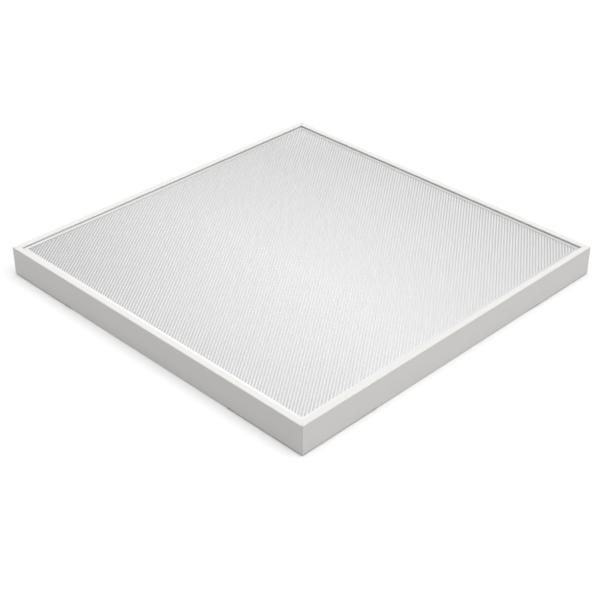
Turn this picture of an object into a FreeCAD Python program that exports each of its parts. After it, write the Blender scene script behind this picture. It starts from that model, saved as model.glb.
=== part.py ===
"""Recessed troffer light: a 600 mm ceiling-grid luminaire that lies on its back, lit face up.

Millimetres. The origin is on the floor under the middle of the panel, +Z points out of the lit face,
and the front wall faces -Y. A steel tray carries the light sources and the control gear, four folded
frame walls with a narrow front lip surround it, and a prismatic diffuser lies between the two.
"""
import FreeCAD, Part
import math
import os

Vec = FreeCAD.Vector
UP = Vec(0, 0, 1)
ORIGIN = Vec(0, 0, 0)

# ---- panel ----
PANEL_SIDE = 595.0            # outside, one module of a 600 mm ceiling grid
PANEL_HEIGHT = 46.0           # back of the tray to the front lip
SHEET = 0.8                   # steel of the frame walls and of the back pan
BEND_RADIUS = 0.4             # inside radius of every fold in that steel
FIT_GAP = 0.05                # between faces of two bodies that touch in use

# ---- frame walls ----
LIP_WIDTH = 9.5               # front flange that rests on the ceiling grid
HEM_DEPTH = 2.2               # lip's inner return, from the lip's face down
HEM_GAP = 1.3                 # hem's lower edge to the diffuser, which shows as a dark line
SEAM_GAP = 0.3                # open seam between two walls at a corner
FLANGE_HALF_SPAN = 164.0      # the rear flange and the tray's rim reach this far from the middle
RELIEF_WIDTH = 10.5           # bend relief at each end of the rear flange
RELIEF_RISE = 1.8             # its height above the tray's rim
CORNER_EDGE_RISE = 0.9        # the wall's plain lower edge beside the corners, above the rim
LIFT_CLEARANCE = 0.75         # frame's rear flange to the reflector rims that it passes
BRACKET_LEG = 28.0
BRACKET_SHEET = 1.2
BRACKET_BEND = 1.0
BRACKET_MARGIN = 2.2          # bracket to the wall's lower edge and to the lip's hem

# ---- frame screws: two on each wall away from the viewer ----
SCREW_OFFSET = 120.0          # from the middle of the wall
SCREW_HEIGHT = 12.0           # above the tray's floor
SCREW_RADIUS = 1.5
SCREW_HEAD_RADIUS = 2.9
NUT_WIDTH = 5.5
NUT_THICKNESS = 2.4
LUG_WIDTH = 14.0
LUG_ABOVE_SCREW = 6.0
LUG_SLOT_GAP = 0.5            # each side of the screw
LUG_RELIEF = 1.5              # slit each side of a lug, and the flange's cut-out beyond it

# ---- tray ----
PAN_SETBACK = 6.5             # pan edge behind the wall's outer face, beside the corners
RIM_SETBACK = 0.4             # pan edge behind the wall's outer face, along the rim
BEAD_RADIUS = 7.0             # stiffening beads pressed into the pan
BEAD_RISE = 2.2
BEAD_END_SPACE = 40.0         # bead end to the hanging nut beyond it

# ---- side reflectors, which also seat the diffuser ----
REFLECTOR_SHEET = 0.5
REFLECTOR_BEND = 0.2
REFLECTOR_SEAM = 0.2
SHELF_WIDTH = 6.5
SLOPE_LEAN = 11.5             # how far the slope leans outwards
FOOT_WIDTH = 12.0
RIM_BELOW_HEM = 0.3

# ---- diffuser ----
PRISM_PLATE = 2.4
OPAL_SHEET = 0.8
HEM_OVERLAP = 2.0             # diffuser edge behind the hem
EDGE_GAP = 0.1                # diffuser edge to the bend of the reflector rim

# ---- rivets, as radius and head ----
RIVET_RADIUS = 1.6
RIVET_HEAD_RADIUS = 3.2
RIVET_HEAD = 0.9
HOLE_GAP = 0.05               # radial, round a rivet or a screw

# ---- light sources ----
STRIP_COUNT = 4
LED_COUNT = 8                 # on each strip
STRIP_WIDTH = 18.0
STRIP_THICKNESS = 1.0
STRIP_END_GAP = 10.0          # to the reflector's foot
CHIP_SIDE = 3.0
CHIP_HEIGHT = 0.7
LENS_RADIUS = 7.5
LENS_HEIGHT = 5.6
LENS_HOLLOW_RADIUS = 3.2
LENS_HOLLOW_HEIGHT = 2.4
CONNECTOR_LENGTH = 10.0       # across the strip
CONNECTOR_WIDTH = 7.0
CONNECTOR_HEIGHT = 4.2
CONNECTOR_INSET = 9.0         # from the strip's end

# ---- hanging nuts ----
HANG_BORE_RADIUS = 2.5
HANG_BARREL_RADIUS = 3.6
HANG_FLANGE_RADIUS = 5.6
HANG_FLANGE = 1.0
HANG_DEPTH = 10.0
HANG_CAP = 1.0
HANG_INSET = 10.0             # from the strip ends

# ---- swing-out grid clips ----
CLIP_LENGTH = 36.0            # pivot to tip
CLIP_WIDTH = 12.0
CLIP_SHEET = 0.6
CLIP_PIVOT_INSET = 13.5       # pivot behind the wall's outer face
CLIP_OFFSET = 225.0           # pivot from the middle of its wall
CLIP_PIN_RADIUS = 2.0
CLIP_HEAD_RADIUS = 4.2
CLIP_HEAD = 0.9
CLIP_SLOT_LENGTH = 8.0
CLIP_SLOT_WIDTH = 2.0

# ---- driver ----
DRIVER_CENTRE_X = 30.0
DRIVER_LENGTH = 150.0
DRIVER_WIDTH = 42.0
DRIVER_HEIGHT = 26.0
DRIVER_WALL = 1.4
DRIVER_EAR = 11.0
DRIVER_EAR_SHEET = 1.6
DRIVER_EAR_OFFSET = 14.0      # ears lie off the middle, clear of the leads
LID_RIM = 2.0
LID_GAP = 0.2
BOSS_RADIUS = 3.0
LID_SCREW_RADIUS = 1.2
LID_SCREW_HEAD_RADIUS = 2.4
LID_SCREW_DEPTH = 9.0
BOARD_SHEET = 1.6
BOARD_RISE = 3.5              # above the case's floor
BOARD_GAP = 1.0
CORE_LENGTH = 26.0
CORE_WIDTH = 12.0
CORE_HEIGHT = 14.0
CORE_LEG = 4.0
WINDING_WIDTH = 21.0
CAN_RADIUS = 5.0
CAN_HEIGHT = 14.5
CAN_PITCH = 13.0

# ---- lever terminal block ----
POLE_COUNT = 3
POLE_PITCH = 7.0
BLOCK_LENGTH = 22.0
BLOCK_HEIGHT = 10.0
BLOCK_CHEEK = 1.2
LEVER_LENGTH = 13.0
LEVER_THICKNESS = 1.8
LEVER_SIDE_GAP = 0.15
LEVER_PIVOT_INSET = 4.5       # from the block's driver side
LEVER_PIVOT_DROP = 2.2        # pivot below the block's top
LEVER_HUB_RADIUS = 1.5
LEVER_PIN_RADIUS = 0.6
LEVER_PIN_REACH = 0.7
WIRE_PORT_RADIUS = 1.7
WIRE_PORT_DEPTH = 7.0
BUS_BAR = 1.0
LEAD_SPACE = 42.0             # block to driver

# ---- supply entry and earth ----
GROMMET_BORE_RADIUS = 4.5
GROMMET_NECK_RADIUS = 6.5
GROMMET_FLANGE_RADIUS = 9.0
GROMMET_HEIGHT = 5.0
ENTRY_SPACE = 16.0            # grommet flange to terminal block
EARTH_STUD_RADIUS = 2.0
EARTH_STUD_HEIGHT = 11.0
EARTH_NUT_WIDTH = 7.0
EARTH_NUT_HEIGHT = 3.2
EARTH_TAG_SHEET = 0.8
EARTH_TAG_RADIUS = 4.0
EARTH_TAG_TAIL = 10.0         # stud to the end of the tag
EARTH_BEHIND_DRIVER = 16.0    # stud to the driver's end
EARTH_OFFSET_Y = 30.0

# ---- driver cover ----
COVER_SHEET = 0.6
COVER_END_SPACE = 9.0         # past the grommet and past the driver
COVER_SIDE_SPACE = 25.0       # driver side to cover side, at the pan
COVER_LEAN = 15.0
COVER_HEADROOM = 5.5
COVER_FLANGE = 11.0
COVER_SCREW_OFFSET_Y = 28.0
COVER_SCREW_RADIUS = 1.4
COVER_SCREW_HEAD_RADIUS = 3.4
COVER_SCREW_HEAD = 2.0
COVER_NOTCH_HALF = 8.0        # lets the output leads out
COVER_NOTCH_HEIGHT = 7.0

# ---- leads ----
LEAD_DIAMETER = 1.6
LEAD_BEND = 14.0
LEAD_PAIR_OFFSET = 1.5        # each lead of a pair from the pair's middle
LEAD_ABOVE_STRIP = 0.5
JUMPER_BOW = 7.0
INLET_SHIFT = 4.0             # supply leads step sideways on their way to the driver

# ---- worked out from the sizes above ----
HALF = PANEL_SIDE / 2
WALL_INNER = HALF - SHEET
HEM_INNER = HALF - LIP_WIDTH
HEM_BOTTOM = PANEL_HEIGHT - HEM_DEPTH
DIFFUSER_HALF = HEM_INNER + HEM_OVERLAP
DIFFUSER_TOP = HEM_BOTTOM - HEM_GAP
OPAL_TOP = DIFFUSER_TOP - PRISM_PLATE
SHELF_TOP = OPAL_TOP - OPAL_SHEET
RIM_INNER = DIFFUSER_HALF + REFLECTOR_BEND + EDGE_GAP
RIM_OUTER = RIM_INNER + REFLECTOR_SHEET
REAR_FLANGE_INNER = RIM_OUTER + LIFT_CLEARANCE
SLOPE_TOP = RIM_INNER - SHELF_WIDTH
SLOPE_FOOT = SLOPE_TOP - SLOPE_LEAN
FLOOR = SHEET                                     # upper face of the back pan
CORNER_EDGE = FLOOR + CORNER_EDGE_RISE
RELIEF_TOP = FLOOR + RELIEF_RISE
PAN_HALF = HALF - PAN_SETBACK
ROW_PITCH = 2 * SLOPE_FOOT / STRIP_COUNT
ROWS = [(row - (STRIP_COUNT - 1) / 2) * ROW_PITCH for row in range(STRIP_COUNT)]
STRIP_HALF = SLOPE_FOOT - FOOT_WIDTH - STRIP_END_GAP
STRIP_TOP = FLOOR + STRIP_THICKNESS
LED_PITCH = 2 * STRIP_HALF / LED_COUNT
LED_PLACES = [(led - (LED_COUNT - 1) / 2) * LED_PITCH for led in range(LED_COUNT)]
STRIP_RIVET_PLACES = [-3 * LED_PITCH, 0, 3 * LED_PITCH]
CONNECTOR_X = STRIP_HALF - CONNECTOR_INSET
HANG_X = STRIP_HALF - HANG_INSET
HANG_Y = ROW_PITCH
DRIVER_X0 = DRIVER_CENTRE_X - DRIVER_LENGTH / 2
DRIVER_X1 = DRIVER_CENTRE_X + DRIVER_LENGTH / 2
DRIVER_TOP = FLOOR + DRIVER_HEIGHT
BLOCK_X1 = DRIVER_X0 - LEAD_SPACE
BLOCK_X0 = BLOCK_X1 - BLOCK_LENGTH
BLOCK_TOP = FLOOR + BLOCK_HEIGHT
POLES = [(pole - (POLE_COUNT - 1) / 2) * POLE_PITCH for pole in range(POLE_COUNT)]
SUPPLY_POLES = POLES[:2]                          # live and neutral, and the last pole is earth
LEVER_X = BLOCK_X1 - LEVER_PIVOT_INSET
LEVER_Z = BLOCK_TOP - LEVER_PIVOT_DROP
PORT_Z = FLOOR + WIRE_PORT_RADIUS + BLOCK_CHEEK
GROMMET_X = BLOCK_X0 - ENTRY_SPACE - GROMMET_FLANGE_RADIUS
EARTH_X = DRIVER_X0 - EARTH_BEHIND_DRIVER
COVER_X0 = GROMMET_X - GROMMET_FLANGE_RADIUS - COVER_END_SPACE - COVER_LEAN
COVER_X1 = DRIVER_X1 + DRIVER_EAR + COVER_END_SPACE + COVER_LEAN
COVER_Y = DRIVER_WIDTH / 2 + COVER_SIDE_SPACE
COVER_TOP = DRIVER_TOP + COVER_HEADROOM
LEAD_RADIUS = LEAD_DIAMETER / 2
LEAD_Z = STRIP_TOP + LEAD_ABOVE_STRIP + LEAD_RADIUS
SIDES = ("front", "right", "back", "left")        # quarter turns about +Z, from the front wall
SCREWED_SIDES = (2, 3)


def box(x0, x1, y0, y1, z0, z1):
    """Solid block between two corners."""
    return Part.makeBox(x1 - x0, y1 - y0, z1 - z0, Vec(x0, y0, z0))


def disc(x, y, z0, z1, radius):
    """Upright cylinder."""
    return Part.makeCylinder(radius, z1 - z0, Vec(x, y, z0), UP)


def rod_x(x0, x1, y, z, radius):
    """Cylinder along X."""
    return Part.makeCylinder(radius, x1 - x0, Vec(x0, y, z), Vec(1, 0, 0))


def prism(points, z0, z1):
    """Upright prism on a closed outline of (x, y) points."""
    outline = Part.makePolygon([Vec(x, y, z0) for x, y in points] + [Vec(*points[0], z0)])
    return Part.Face(outline).extrude(Vec(0, 0, z1 - z0))


def hexagon(x, y, z0, z1, width):
    """Hexagonal prism of a given width across its flats."""
    reach = width / math.sqrt(3)
    turns = [math.radians(60 * corner) for corner in range(6)]
    return prism([(x + reach * math.cos(turn), y + reach * math.sin(turn)) for turn in turns], z0, z1)


def quarter_turns(shape, count):
    """Copy of a shape turned about the panel's axis by a number of right angles."""
    turned = shape.copy()
    turned.rotate(ORIGIN, UP, 90 * count)
    return turned


def tidy(shape):
    """Merge split faces and return the single solid of a boolean's result."""
    clean = shape.removeSplitter()
    return clean.Solids[0] if len(clean.Solids) == 1 else clean


def bent_sheet(path, thickness, inner_radius, to_point, length):
    """Folded sheet: a centre line of 2D points, given its thickness and bends, pushed along its normal.

    to_point turns a 2D point into the start plane's 3D point, and length is the extrusion vector.
    """
    points = [FreeCAD.Vector(*point, 0) for point in path]
    centre_radius = inner_radius + thickness / 2
    sides = {1: [], -1: []}
    for side in sides:
        pen = None
        for index, point in enumerate(points):
            ahead = points[index + 1] - point if index + 1 < len(points) else None
            behind = point - points[index - 1] if index else None
            if ahead is None or behind is None:
                along = (ahead or behind).normalize()
                offset = Vec(-along.y, along.x, 0) * (side * thickness / 2)
                place = point + offset
                if pen is not None:
                    sides[side].append(Part.LineSegment(to_point(pen), to_point(place)))
                pen = place
                continue
            behind.normalize()
            ahead.normalize()
            turn = math.atan2(behind.cross(ahead).z, behind.dot(ahead))
            setback = centre_radius * math.tan(abs(turn) / 2)
            towards = Vec(-behind.y, behind.x, 0) * math.copysign(1, turn)
            middle = point - behind * setback + towards * centre_radius
            radius = centre_radius - side * math.copysign(thickness / 2, turn)
            start = middle - towards * radius
            half_way = FreeCAD.Rotation(Vec(0, 0, 1), math.degrees(turn / 2)).multVec(towards)
            finish = FreeCAD.Rotation(Vec(0, 0, 1), math.degrees(turn)).multVec(towards)
            sides[side].append(Part.LineSegment(to_point(pen), to_point(start)))
            sides[side].append(Part.Arc(to_point(start), to_point(middle - half_way * radius),
                                        to_point(middle - finish * radius)))
            pen = middle - finish * radius
    edges = [curve.toShape() for side in sides for curve in sides[side]]
    ends = [[sides[side][end] for side in sides] for end in (0, -1)]
    edges.append(Part.LineSegment(*[curve.StartPoint for curve in ends[0]]).toShape())
    edges.append(Part.LineSegment(*[curve.EndPoint for curve in ends[1]]).toShape())
    outline = Part.Wire(Part.__sortEdges__(edges))
    return Part.Face(outline).extrude(length)


def folded_along_x(path, thickness, inner_radius, x0, x1):
    """Folded sheet whose (y, z) section runs along X."""
    return bent_sheet(path, thickness, inner_radius, lambda p: Vec(x0, p.x, p.y), Vec(x1 - x0, 0, 0))


def mitred(shape, gap):
    """Front piece cut to its quarter of the square, half a gap short of each diagonal."""
    reach = PANEL_SIDE
    short = gap / math.sqrt(2)
    triangle = [(0, -short), (reach, -reach - short), (-reach, -reach - short)]
    wedge = prism(triangle, -PANEL_HEIGHT, 2 * PANEL_HEIGHT)
    return tidy(shape.common(wedge))


def rivet(x, y, seat, radius=RIVET_RADIUS, head_radius=RIVET_HEAD_RADIUS, head=RIVET_HEAD):
    """Rivet with a domed head on a seat height, its shank flush with the back of the pan."""
    dome = disc(x, y, seat, seat + head, head_radius)
    crown = [edge for edge in dome.Edges if edge.CenterOfMass.z > seat + head * 0.9]
    dome = dome.makeFillet(head * 0.6, crown)
    return tidy(dome.fuse(disc(x, y, 0, seat, radius)))


# ---------------------------------------------------------------- frame

def lug_cutout(place):
    """Room for one tray lug in the rear flange of a screwed wall."""
    reach = LUG_WIDTH / 2 + 2 * LUG_RELIEF
    return box(place - reach, place + reach, -WALL_INNER, -REAR_FLANGE_INNER + 1, 0, RELIEF_TOP)


def countersunk(place, extra=0.0):
    """Flush screw head and shank through a wall, made at the front wall."""
    height = FLOOR + SCREW_HEIGHT
    outside = Vec(place, -HALF, height)
    inward = Vec(0, 1, 0)
    cone = Part.makeCone(SCREW_HEAD_RADIUS + extra, SCREW_RADIUS + extra, SHEET, outside, inward)
    length = SHEET + 2 * FIT_GAP + SHEET + NUT_THICKNESS + 0.3
    return cone.fuse(Part.makeCylinder(SCREW_RADIUS + extra, length, outside, inward))


def frame_wall(side):
    """One wall with its front lip, hem and rear flange."""
    middle = SHEET / 2
    outside = -(HALF - middle)
    upper = [(outside, PANEL_HEIGHT - middle), (-(HEM_INNER + middle), PANEL_HEIGHT - middle),
             (-(HEM_INNER + middle), HEM_BOTTOM)]
    flange_end = 4 * SHEET + FLOOR
    wall = folded_along_x([(outside, CORNER_EDGE)] + upper, SHEET, BEND_RADIUS, -HALF, HALF)
    for relief in (-1, 1):
        edge = relief * FLANGE_HALF_SPAN
        far = relief * (FLANGE_HALF_SPAN + RELIEF_WIDTH)
        wall = wall.cut(box(min(edge, far), max(edge, far), -HALF - 1, -WALL_INNER + 1, 0, RELIEF_TOP))
    wall = wall.cut(box(-FLANGE_HALF_SPAN, FLANGE_HALF_SPAN, -HALF - 1, -WALL_INNER + 1, 0, flange_end))
    flange = [(-REAR_FLANGE_INNER, FLOOR + middle), (outside, FLOOR + middle), (outside, flange_end)]
    wall = wall.fuse(folded_along_x(flange, SHEET, BEND_RADIUS, -FLANGE_HALF_SPAN, FLANGE_HALF_SPAN))
    wall = mitred(wall, SEAM_GAP)
    if side in SCREWED_SIDES:
        for place in (-SCREW_OFFSET, SCREW_OFFSET):
            wall = wall.cut(lug_cutout(place)).cut(countersunk(place, HOLE_GAP))
    return quarter_turns(tidy(wall), side)


def corner_bracket(corner):
    """Angle that joins two walls inside a corner, made at the front right corner."""
    face = WALL_INNER - BRACKET_SHEET / 2
    path = [(face - BRACKET_LEG, -face), (face, -face), (face, -face + BRACKET_LEG)]
    z0 = RELIEF_TOP + BRACKET_MARGIN
    z1 = HEM_BOTTOM - BRACKET_MARGIN
    bracket = bent_sheet(path, BRACKET_SHEET, BRACKET_BEND, lambda p: Vec(p.x, p.y, z0),
                         Vec(0, 0, z1 - z0))
    return quarter_turns(bracket, corner)


def frame_screw(side, place):
    """Flush countersunk screw with a cross recess."""
    height = FLOOR + SCREW_HEIGHT
    screw = countersunk(place)
    arm = SCREW_RADIUS
    slot = arm / 4
    for half_x, half_z in ((arm, slot), (slot, arm)):
        screw = screw.cut(box(place - half_x, place + half_x, -HALF - 1, -HALF + SHEET / 2,
                              height - half_z, height + half_z))
    return quarter_turns(tidy(screw), side)


def frame_nut(side, place):
    """Square nut behind a tray lug."""
    height = FLOOR + SCREW_HEIGHT
    face = -(WALL_INNER - 2 * FIT_GAP - SHEET)
    half = NUT_WIDTH / 2
    nut = box(place - half, place + half, face, face + NUT_THICKNESS, height - half, height + half)
    bore = Part.makeCylinder(SCREW_RADIUS + HOLE_GAP, 2 * NUT_THICKNESS,
                             Vec(place, face - NUT_THICKNESS / 2, height), Vec(0, 1, 0))
    return quarter_turns(nut.cut(bore), side)


# ---------------------------------------------------------------- tray

def bead(y, radius, reach, sink):
    """Round-ended rod along X, sunk below a plane, for one stiffening bead."""
    rod = rod_x(-reach, reach, y, -sink, radius)
    for end in (-reach, reach):
        rod = rod.fuse(Part.makeSphere(radius, Vec(end, y, -sink)))
    return rod


def lug_strip(side, place):
    """Upright lug of the pan with an open-topped slot for its frame screw."""
    middle = SHEET / 2
    stand = -(WALL_INNER - FIT_GAP - middle)
    top = FLOOR + SCREW_HEIGHT + LUG_ABOVE_SCREW
    path = [(-(PAN_HALF - 2 * SHEET), middle), (stand, middle), (stand, top)]
    half = LUG_WIDTH / 2
    lug = folded_along_x(path, SHEET, BEND_RADIUS, place - half, place + half)
    slot = SCREW_RADIUS + LUG_SLOT_GAP
    bottom = FLOOR + SCREW_HEIGHT
    lug = lug.cut(box(place - slot, place + slot, stand - SHEET, stand + SHEET, bottom, top + 1))
    lug = lug.cut(Part.makeCylinder(slot, 2 * SHEET, Vec(place, stand - SHEET, bottom), Vec(0, 1, 0)))
    return quarter_turns(lug, side)


def lug_window(side, place):
    """Opening in the pan's rim round a lug's fold."""
    reach = LUG_WIDTH / 2 + LUG_RELIEF
    return quarter_turns(box(place - reach, place + reach, -HALF, -PAN_HALF, -1, FLOOR + 1), side)


def screwed_places():
    """Side number and offset of every frame screw."""
    return [(side, place) for side in SCREWED_SIDES for place in (-SCREW_OFFSET, SCREW_OFFSET)]


def reflector_rivet_places():
    """Middle of every rivet through a reflector's foot, as (x, y)."""
    foot_middle = -(SLOPE_FOOT - FOOT_WIDTH / 2)
    along = [-SLOPE_FOOT * 0.7, 0, SLOPE_FOOT * 0.7]
    places = []
    for side in range(len(SIDES)):
        for place in along:
            point = FreeCAD.Rotation(UP, 90 * side).multVec(Vec(place, foot_middle, 0))
            places.append((point.x, point.y))
    return places


def clip_pivots():
    """Pivot of every grid clip, as (x, y)."""
    start = Vec(CLIP_OFFSET, -(HALF - CLIP_PIVOT_INSET), 0)
    points = [FreeCAD.Rotation(UP, 90 * side).multVec(start) for side in range(len(SIDES))]
    return [(point.x, point.y) for point in points]


def strip_rivet_places():
    """Middle of every rivet through a light strip, as (x, y)."""
    return [(x, y) for y in ROWS for x in STRIP_RIVET_PLACES]


def hang_places():
    """Middle of every hanging nut, as (x, y)."""
    return [(x, y) for x in (-HANG_X, HANG_X) for y in (-HANG_Y, HANG_Y)]


def cover_screw_places():
    """Middle of every screw of the driver cover, as (x, y)."""
    ends = (COVER_X0 - COVER_FLANGE / 2, COVER_X1 + COVER_FLANGE / 2)
    return [(x, y) for x in ends for y in (-COVER_SCREW_OFFSET_Y, COVER_SCREW_OFFSET_Y)]


def driver_mount_places():
    """Middle of every mounting screw of the driver, as (x, y)."""
    return [(DRIVER_X0 - DRIVER_EAR / 2, DRIVER_EAR_OFFSET),
            (DRIVER_X1 + DRIVER_EAR / 2, -DRIVER_EAR_OFFSET)]


def back_pan():
    """Tray floor with its rims, lugs, beads and holes."""
    pan = box(-PAN_HALF, PAN_HALF, -PAN_HALF, PAN_HALF, 0, FLOOR)
    rim = box(-FLANGE_HALF_SPAN, FLANGE_HALF_SPAN, -(HALF - RIM_SETBACK), -PAN_HALF, 0, FLOOR)
    for side in range(len(SIDES)):
        pan = pan.fuse(quarter_turns(rim, side))
    for side, place in screwed_places():
        pan = pan.cut(lug_window(side, place)).fuse(lug_strip(side, place))
    reach = HANG_X - BEAD_END_SPACE
    sink = BEAD_RADIUS - BEAD_RISE
    for y in (-HANG_Y, HANG_Y):
        crown = bead(y, BEAD_RADIUS + SHEET, reach, sink)
        crown = crown.common(box(-HALF, HALF, -HALF, HALF, 0, PANEL_HEIGHT))
        pan = pan.fuse(crown).cut(bead(y, BEAD_RADIUS, reach, sink))
    riveted = reflector_rivet_places() + strip_rivet_places() + driver_mount_places()
    holes = [disc(x, y, -1, FLOOR + 1, RIVET_RADIUS + HOLE_GAP) for x, y in riveted]
    holes += [disc(x, y, -1, FLOOR + 1, CLIP_PIN_RADIUS + HOLE_GAP) for x, y in clip_pivots()]
    holes += [disc(x, y, -1, FLOOR + 1, COVER_SCREW_RADIUS + HOLE_GAP) for x, y in cover_screw_places()]
    holes += [disc(x, y, -1, FLOOR + 1, HANG_BARREL_RADIUS + HOLE_GAP) for x, y in hang_places()]
    holes.append(disc(GROMMET_X, 0, -1, FLOOR + 1, GROMMET_NECK_RADIUS))
    return tidy(pan.cut(Part.makeCompound(holes)))


def side_reflector(side):
    """White sloping side of the light chamber, with the shelf and rim that seat the diffuser."""
    middle = REFLECTOR_SHEET / 2
    foot = FLOOR + middle
    shelf = SHELF_TOP - middle
    path = [(-(SLOPE_FOOT - FOOT_WIDTH), foot), (-SLOPE_FOOT, foot), (-SLOPE_TOP, shelf),
            (-(RIM_INNER + middle), shelf), (-(RIM_INNER + middle), HEM_BOTTOM - RIM_BELOW_HEM)]
    sheet = folded_along_x(path, REFLECTOR_SHEET, REFLECTOR_BEND, -HALF, HALF)
    reflector = quarter_turns(mitred(sheet, REFLECTOR_SEAM), side)
    holes = [disc(x, y, 0, FLOOR + 1, RIVET_RADIUS + HOLE_GAP) for x, y in reflector_rivet_places()]
    return tidy(reflector.cut(Part.makeCompound(holes)))


# ---------------------------------------------------------------- light sources

def led_strip(y):
    """Board with its rivet holes."""
    board = box(-STRIP_HALF, STRIP_HALF, y - STRIP_WIDTH / 2, y + STRIP_WIDTH / 2, FLOOR, STRIP_TOP)
    holes = [disc(x, y, 0, STRIP_TOP + 1, RIVET_RADIUS + HOLE_GAP) for x in STRIP_RIVET_PLACES]
    return board.cut(Part.makeCompound(holes))


def led_chip(x, y):
    """One light-emitting package."""
    half = CHIP_SIDE / 2
    return box(x - half, x + half, y - half, y + half, STRIP_TOP, STRIP_TOP + CHIP_HEIGHT)


def led_lens(x, y):
    """Spreading lens: a dome with a dimple on top and a hollow over the chip."""
    crest = LENS_RADIUS * 0.42
    rise = LENS_HEIGHT * 0.35
    dimple = LENS_HEIGHT * 0.78
    shoulder = Vec(LENS_RADIUS * 0.86, 0, LENS_HEIGHT * 0.8)
    start = Vec(LENS_HOLLOW_RADIUS, 0, 0)
    edges = [Part.LineSegment(start, Vec(LENS_RADIUS, 0, 0)),
             Part.LineSegment(Vec(LENS_RADIUS, 0, 0), Vec(LENS_RADIUS, 0, rise)),
             Part.Arc(Vec(LENS_RADIUS, 0, rise), shoulder, Vec(crest, 0, LENS_HEIGHT)),
             Part.LineSegment(Vec(crest, 0, LENS_HEIGHT), Vec(0, 0, dimple)),
             Part.LineSegment(Vec(0, 0, dimple), Vec(0, 0, LENS_HOLLOW_HEIGHT)),
             Part.LineSegment(Vec(0, 0, LENS_HOLLOW_HEIGHT), start)]
    section = Part.Face(Part.Wire([edge.toShape() for edge in edges]))
    lens = section.revolve(ORIGIN, UP, 360)
    lens.translate(Vec(x, y, STRIP_TOP))
    return lens


def strip_connector(y):
    """Push-in connector on a strip, with a port for each lead at both faces."""
    half = CONNECTOR_WIDTH / 2
    y0 = y - CONNECTOR_LENGTH / 2
    y1 = y + CONNECTOR_LENGTH / 2
    body = box(CONNECTOR_X - half, CONNECTOR_X + half, y0, y1, STRIP_TOP, STRIP_TOP + CONNECTOR_HEIGHT)
    top = [edge for edge in body.Edges if edge.CenterOfMass.z > STRIP_TOP + CONNECTOR_HEIGHT * 0.9]
    body = body.makeChamfer(CONNECTOR_HEIGHT * 0.15, top)
    for offset in (-LEAD_PAIR_OFFSET, LEAD_PAIR_OFFSET):
        for face in (y0, y1):
            start = Vec(CONNECTOR_X + offset, face - CONNECTOR_LENGTH * 0.3, LEAD_Z)
            port = Part.makeCylinder(LEAD_RADIUS + HOLE_GAP, CONNECTOR_LENGTH * 0.6, start, Vec(0, 1, 0))
            body = body.cut(port)
    return body


# ---------------------------------------------------------------- leads

def lead(points, name):
    """Insulated lead: straight runs joined by tangent arcs, as wide as its runs allow."""
    places = [Vec(*point) for point in points]
    edges = []
    radii = []
    pen = places[0]
    for before, corner, after in zip(places, places[1:], places[2:]):
        back = before - corner
        ahead = after - corner
        room = 0.45 * min(back.Length, ahead.Length)
        half_turn = (math.pi - back.getAngle(ahead)) / 2
        radius = min(LEAD_BEND, room / math.tan(half_turn))
        setback = radius * math.tan(half_turn)
        back.normalize()
        ahead.normalize()
        start = corner + back * setback
        finish = corner + ahead * setback
        to_middle = (back + ahead).normalize()
        nearest = corner + to_middle * (radius / math.cos(half_turn) - radius)
        edges.append(Part.LineSegment(pen, start).toShape())
        edges.append(Part.Arc(start, nearest, finish).toShape())
        radii.append(radius)
        pen = finish
    edges.append(Part.LineSegment(pen, places[-1]).toShape())
    route = Part.Wire(edges)
    section = Part.Wire(Part.makeCircle(LEAD_RADIUS, places[0], places[1] - places[0]))
    tube = route.makePipeShell([section], True, False)
    expected = math.pi * LEAD_RADIUS ** 2 * route.Length
    print(name, "length", round(route.Length, 1), "volume ratio", round(tube.Volume / expected, 4),
          "radii", [round(radius, 1) for radius in radii])
    return tube


def strip_jumpers():
    """Pairs of leads between neighbouring strips' connectors, bowed towards the strips' ends."""
    grip = CONNECTOR_LENGTH * 0.25
    leads = []
    for y0, y1 in ((ROWS[0], ROWS[1]), (ROWS[2], ROWS[3])):
        start = y0 + CONNECTOR_LENGTH / 2
        span = y1 - CONNECTOR_LENGTH / 2 - start
        for offset in (-LEAD_PAIR_OFFSET, LEAD_PAIR_OFFSET):
            x = CONNECTOR_X + offset
            bowed = x + JUMPER_BOW
            route = [(x, start - grip), (x, start + 0.16 * span), (bowed, start + 0.34 * span),
                     (bowed, start + 0.66 * span), (x, start + 0.84 * span), (x, start + span + grip)]
            leads.append(lead([(*place, LEAD_Z) for place in route], "strip jumper"))
    return Part.makeCompound(leads)


def led_leads():
    """Output leads from the driver to the connectors of the two middle strips."""
    grip = CONNECTOR_LENGTH * 0.25
    leads = []
    for toward in (-1, 1):
        for offset in (-LEAD_PAIR_OFFSET, LEAD_PAIR_OFFSET):
            y_start = toward * 2 * LEAD_PAIR_OFFSET + offset
            x_end = CONNECTOR_X + toward * offset * -1
            y_end = toward * (ROW_PITCH / 2 - CONNECTOR_LENGTH / 2 + grip)
            route = [(DRIVER_X1 - 2 * DRIVER_WALL, y_start), (x_end, y_start), (x_end, y_end)]
            leads.append(lead([(*place, LEAD_Z) for place in route], "output lead"))
    return Part.makeCompound(leads)


def supply_leads():
    """Live and neutral leads from the terminal block to the driver."""
    leads = []
    grip = WIRE_PORT_DEPTH / 2
    for pole in SUPPLY_POLES:
        route = [(BLOCK_X1 - grip, pole, PORT_Z), (BLOCK_X1 + LEAD_SPACE * 0.3, pole, PORT_Z),
                 (DRIVER_X0 - LEAD_SPACE * 0.4, pole + INLET_SHIFT, PORT_Z),
                 (DRIVER_X0 + 2 * DRIVER_WALL, pole + INLET_SHIFT, PORT_Z)]
        leads.append(lead(route, "supply lead"))
    return Part.makeCompound(leads)


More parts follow.
